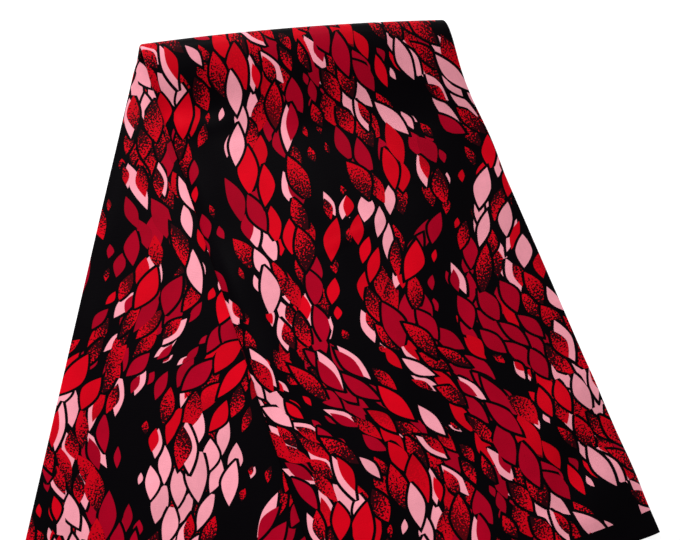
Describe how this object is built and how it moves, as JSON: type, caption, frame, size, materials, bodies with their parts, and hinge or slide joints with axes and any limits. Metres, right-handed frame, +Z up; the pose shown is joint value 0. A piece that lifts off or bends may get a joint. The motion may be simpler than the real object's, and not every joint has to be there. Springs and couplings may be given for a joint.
{
  "type": "folded wax print fabric",
  "caption": "Cut length of leaf-printed cotton folded lengthwise into a band, then folded over in a soft loop and laid down with its halves fanned apart.",
  "frame": {"origin": "centre of the bounding box, at the surface that the cloth lies on", "axes": "+Z up from the surface, +Y towards the far fold, +X to the right as seen from the near end"},
  "size_m": [0.5478, 0.658, 0.0288],
  "materials": {
    "printed_cotton": "plain-woven cotton, printed with red, crimson and pink leaves on a near-black ground, crisp and slightly waxy"
  },
  "bodies": {
    "root": {"cloth": "printed_cotton"}
  },
  "joints": []
}
